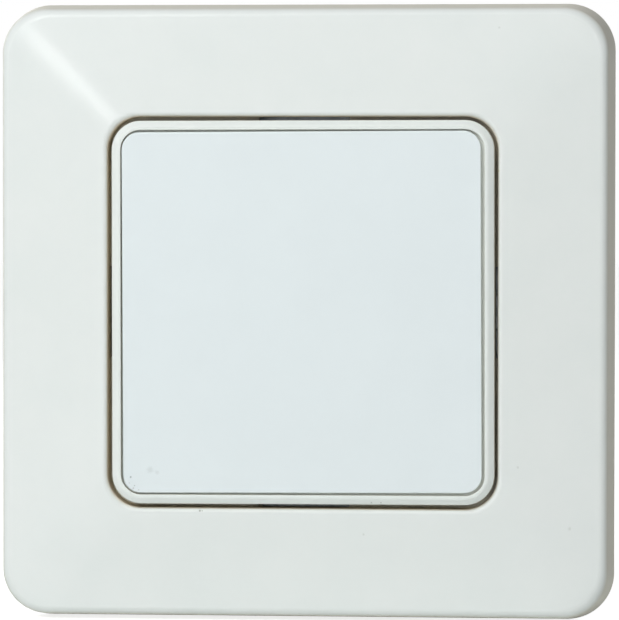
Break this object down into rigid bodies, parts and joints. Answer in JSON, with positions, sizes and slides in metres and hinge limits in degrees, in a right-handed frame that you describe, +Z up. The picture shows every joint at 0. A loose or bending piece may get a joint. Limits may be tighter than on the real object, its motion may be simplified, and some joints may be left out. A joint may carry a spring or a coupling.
{
  "type": "touch dimmer switch",
  "caption": "Flush-mounted touch dimmer: square white cover frame round a flat touch plate, with mounting ring, box claws, housing and screw terminals behind",
  "frame": {"origin": "middle of the four box-screw holes, in the plane of the wall", "axes": "+Z up, +Y into the wall box, +X to the right seen from the front; the front faces -Y"},
  "size_m": [0.081, 0.0345, 0.081],
  "materials": {
    "cover_plastic": "moulded urea, white, softly glossy",
    "insert_plastic": "moulded urea, white, softly glossy",
    "plate_enamel": "white enamelled sheet, satin, slightly bluish",
    "zinc_plated_sheet": "stamped steel sheet, zinc plated",
    "zinc_plated_screws": "steel, zinc plated",
    "housing_plastic": "moulded dark grey housing",
    "housing_cover_plastic": "moulded grey cover",
    "spring_steel": "nickel-plated spring wire",
    "circuit_board": "glass-fibre board with green lacquer",
    "black_moulding": "black moulding compound",
    "insulating_sheet": "grey insulating sheet",
    "powder_core": "lacquered iron powder ring",
    "enamelled_copper": "enamelled copper wire",
    "capacitor_case": "cast plastic case",
    "sleeved_aluminium": "sleeved aluminium can",
    "resistor_lacquer": "lacquered ceramic body",
    "fuse_glass": "clear glass tube",
    "nickel_plated_brass": "nickel-plated brass",
    "terminal_brass": "stamped brass",
    "terminal_cage_steel": "zinc-plated steel cage"
  },
  "bodies": {
    "device": {"cover_frame": "cover_plastic", "insert_bezel": "insert_plastic", "touch_plate": "plate_enamel", "support_ring": "zinc_plated_sheet", "housing_base": "housing_plastic", "housing_cover": "housing_cover_plastic", "housing_screws": "zinc_plated_screws", "contact_spring": "spring_steel", "circuit_board": "circuit_board", "triac": "black_moulding", "triac_pad": "insulating_sheet", "triac_screw": "zinc_plated_screws", "triac_nut": "zinc_plated_screws", "choke_core": "powder_core", "choke_winding": "enamelled_copper", "film_capacitor": "capacitor_case", "smoothing_capacitor": "sleeved_aluminium", "control_chip": "black_moulding", "resistors": "resistor_lacquer", "touch_resistors": "resistor_lacquer", "diodes": "black_moulding", "fuse_tube": "fuse_glass", "fuse_caps": "nickel_plated_brass", "fuse_clips": "nickel_plated_brass", "terminal_bar_1": "terminal_brass", "terminal_bar_2": "terminal_brass", "terminal_bar_3": "terminal_brass"},
    "claw_screw_left": {"claw_screw_left": "zinc_plated_screws"},
    "claw_nut_left": {"claw_nut_left": "zinc_plated_sheet"},
    "claw_left": {"claw_left": "zinc_plated_sheet"},
    "claw_screw_right": {"claw_screw_right": "zinc_plated_screws"},
    "claw_nut_right": {"claw_nut_right": "zinc_plated_sheet"},
    "claw_right": {"claw_right": "zinc_plated_sheet"},
    "terminal_screw_1": {"terminal_screw_1": "zinc_plated_screws"},
    "terminal_cage_1": {"terminal_cage_1": "terminal_cage_steel"},
    "terminal_screw_2": {"terminal_screw_2": "zinc_plated_screws"},
    "terminal_cage_2": {"terminal_cage_2": "terminal_cage_steel"},
    "terminal_screw_3": {"terminal_screw_3": "zinc_plated_screws"},
    "terminal_cage_3": {"terminal_cage_3": "terminal_cage_steel"}
  },
  "joints": [
    {"name": "claw_screw_left_turn", "type": "hinge", "parent": "device", "child": "claw_screw_left", "pos_m": [-0.0246, 0, 0], "axis": [0, 1, 0], "range_deg": [0, 3600]},
    {"name": "claw_nut_left_run", "type": "slide", "parent": "device", "child": "claw_nut_left", "axis": [0, -1, 0], "range_m": [0, 0.005]},
    {"name": "claw_left_swing", "type": "hinge", "parent": "claw_nut_left", "child": "claw_left", "pos_m": [-0.0246, 0.0178, 0], "axis": [0, 0, -1], "range_deg": [0, 20]},
    {"name": "claw_screw_right_turn", "type": "hinge", "parent": "device", "child": "claw_screw_right", "pos_m": [0.0246, 0, 0], "axis": [0, 1, 0], "range_deg": [0, 3600]},
    {"name": "claw_nut_right_run", "type": "slide", "parent": "device", "child": "claw_nut_right", "axis": [0, -1, 0], "range_m": [0, 0.005]},
    {"name": "claw_right_swing", "type": "hinge", "parent": "claw_nut_right", "child": "claw_right", "pos_m": [0.0246, 0.0178, 0], "axis": [0, 0, 1], "range_deg": [0, 20]},
    {"name": "terminal_screw_1_turn", "type": "hinge", "parent": "device", "child": "terminal_screw_1", "pos_m": [-0.0085, 0, -0.018], "axis": [0, 1, 0], "range_deg": [0, 1500]},
    {"name": "terminal_cage_1_lift", "type": "slide", "parent": "device", "child": "terminal_cage_1", "axis": [0, 1, 0], "range_m": [0, 0.0025]},
    {"name": "terminal_screw_2_turn", "type": "hinge", "parent": "device", "child": "terminal_screw_2", "pos_m": [0, 0, -0.018], "axis": [0, 1, 0], "range_deg": [0, 1500]},
    {"name": "terminal_cage_2_lift", "type": "slide", "parent": "device", "child": "terminal_cage_2", "axis": [0, 1, 0], "range_m": [0, 0.0025]},
    {"name": "terminal_screw_3_turn", "type": "hinge", "parent": "device", "child": "terminal_screw_3", "pos_m": [0.0085, 0, -0.018], "axis": [0, 1, 0], "range_deg": [0, 1500]},
    {"name": "terminal_cage_3_lift", "type": "slide", "parent": "device", "child": "terminal_cage_3", "axis": [0, 1, 0], "range_m": [0, 0.0025]}
  ],
  "couplings": [
    {"joint": "claw_screw_left_turn", "follows": "claw_nut_left_run", "rad_per_m": 12566},
    {"joint": "claw_left_swing", "follows": "claw_nut_left_run", "rad_per_m": 69.813},
    {"joint": "claw_screw_right_turn", "follows": "claw_nut_right_run", "rad_per_m": 12566},
    {"joint": "claw_right_swing", "follows": "claw_nut_right_run", "rad_per_m": 69.813},
    {"joint": "terminal_screw_1_turn", "follows": "terminal_cage_1_lift", "rad_per_m": 10472},
    {"joint": "terminal_screw_2_turn", "follows": "terminal_cage_2_lift", "rad_per_m": 10472},
    {"joint": "terminal_screw_3_turn", "follows": "terminal_cage_3_lift", "rad_per_m": 10472}
  ]
}
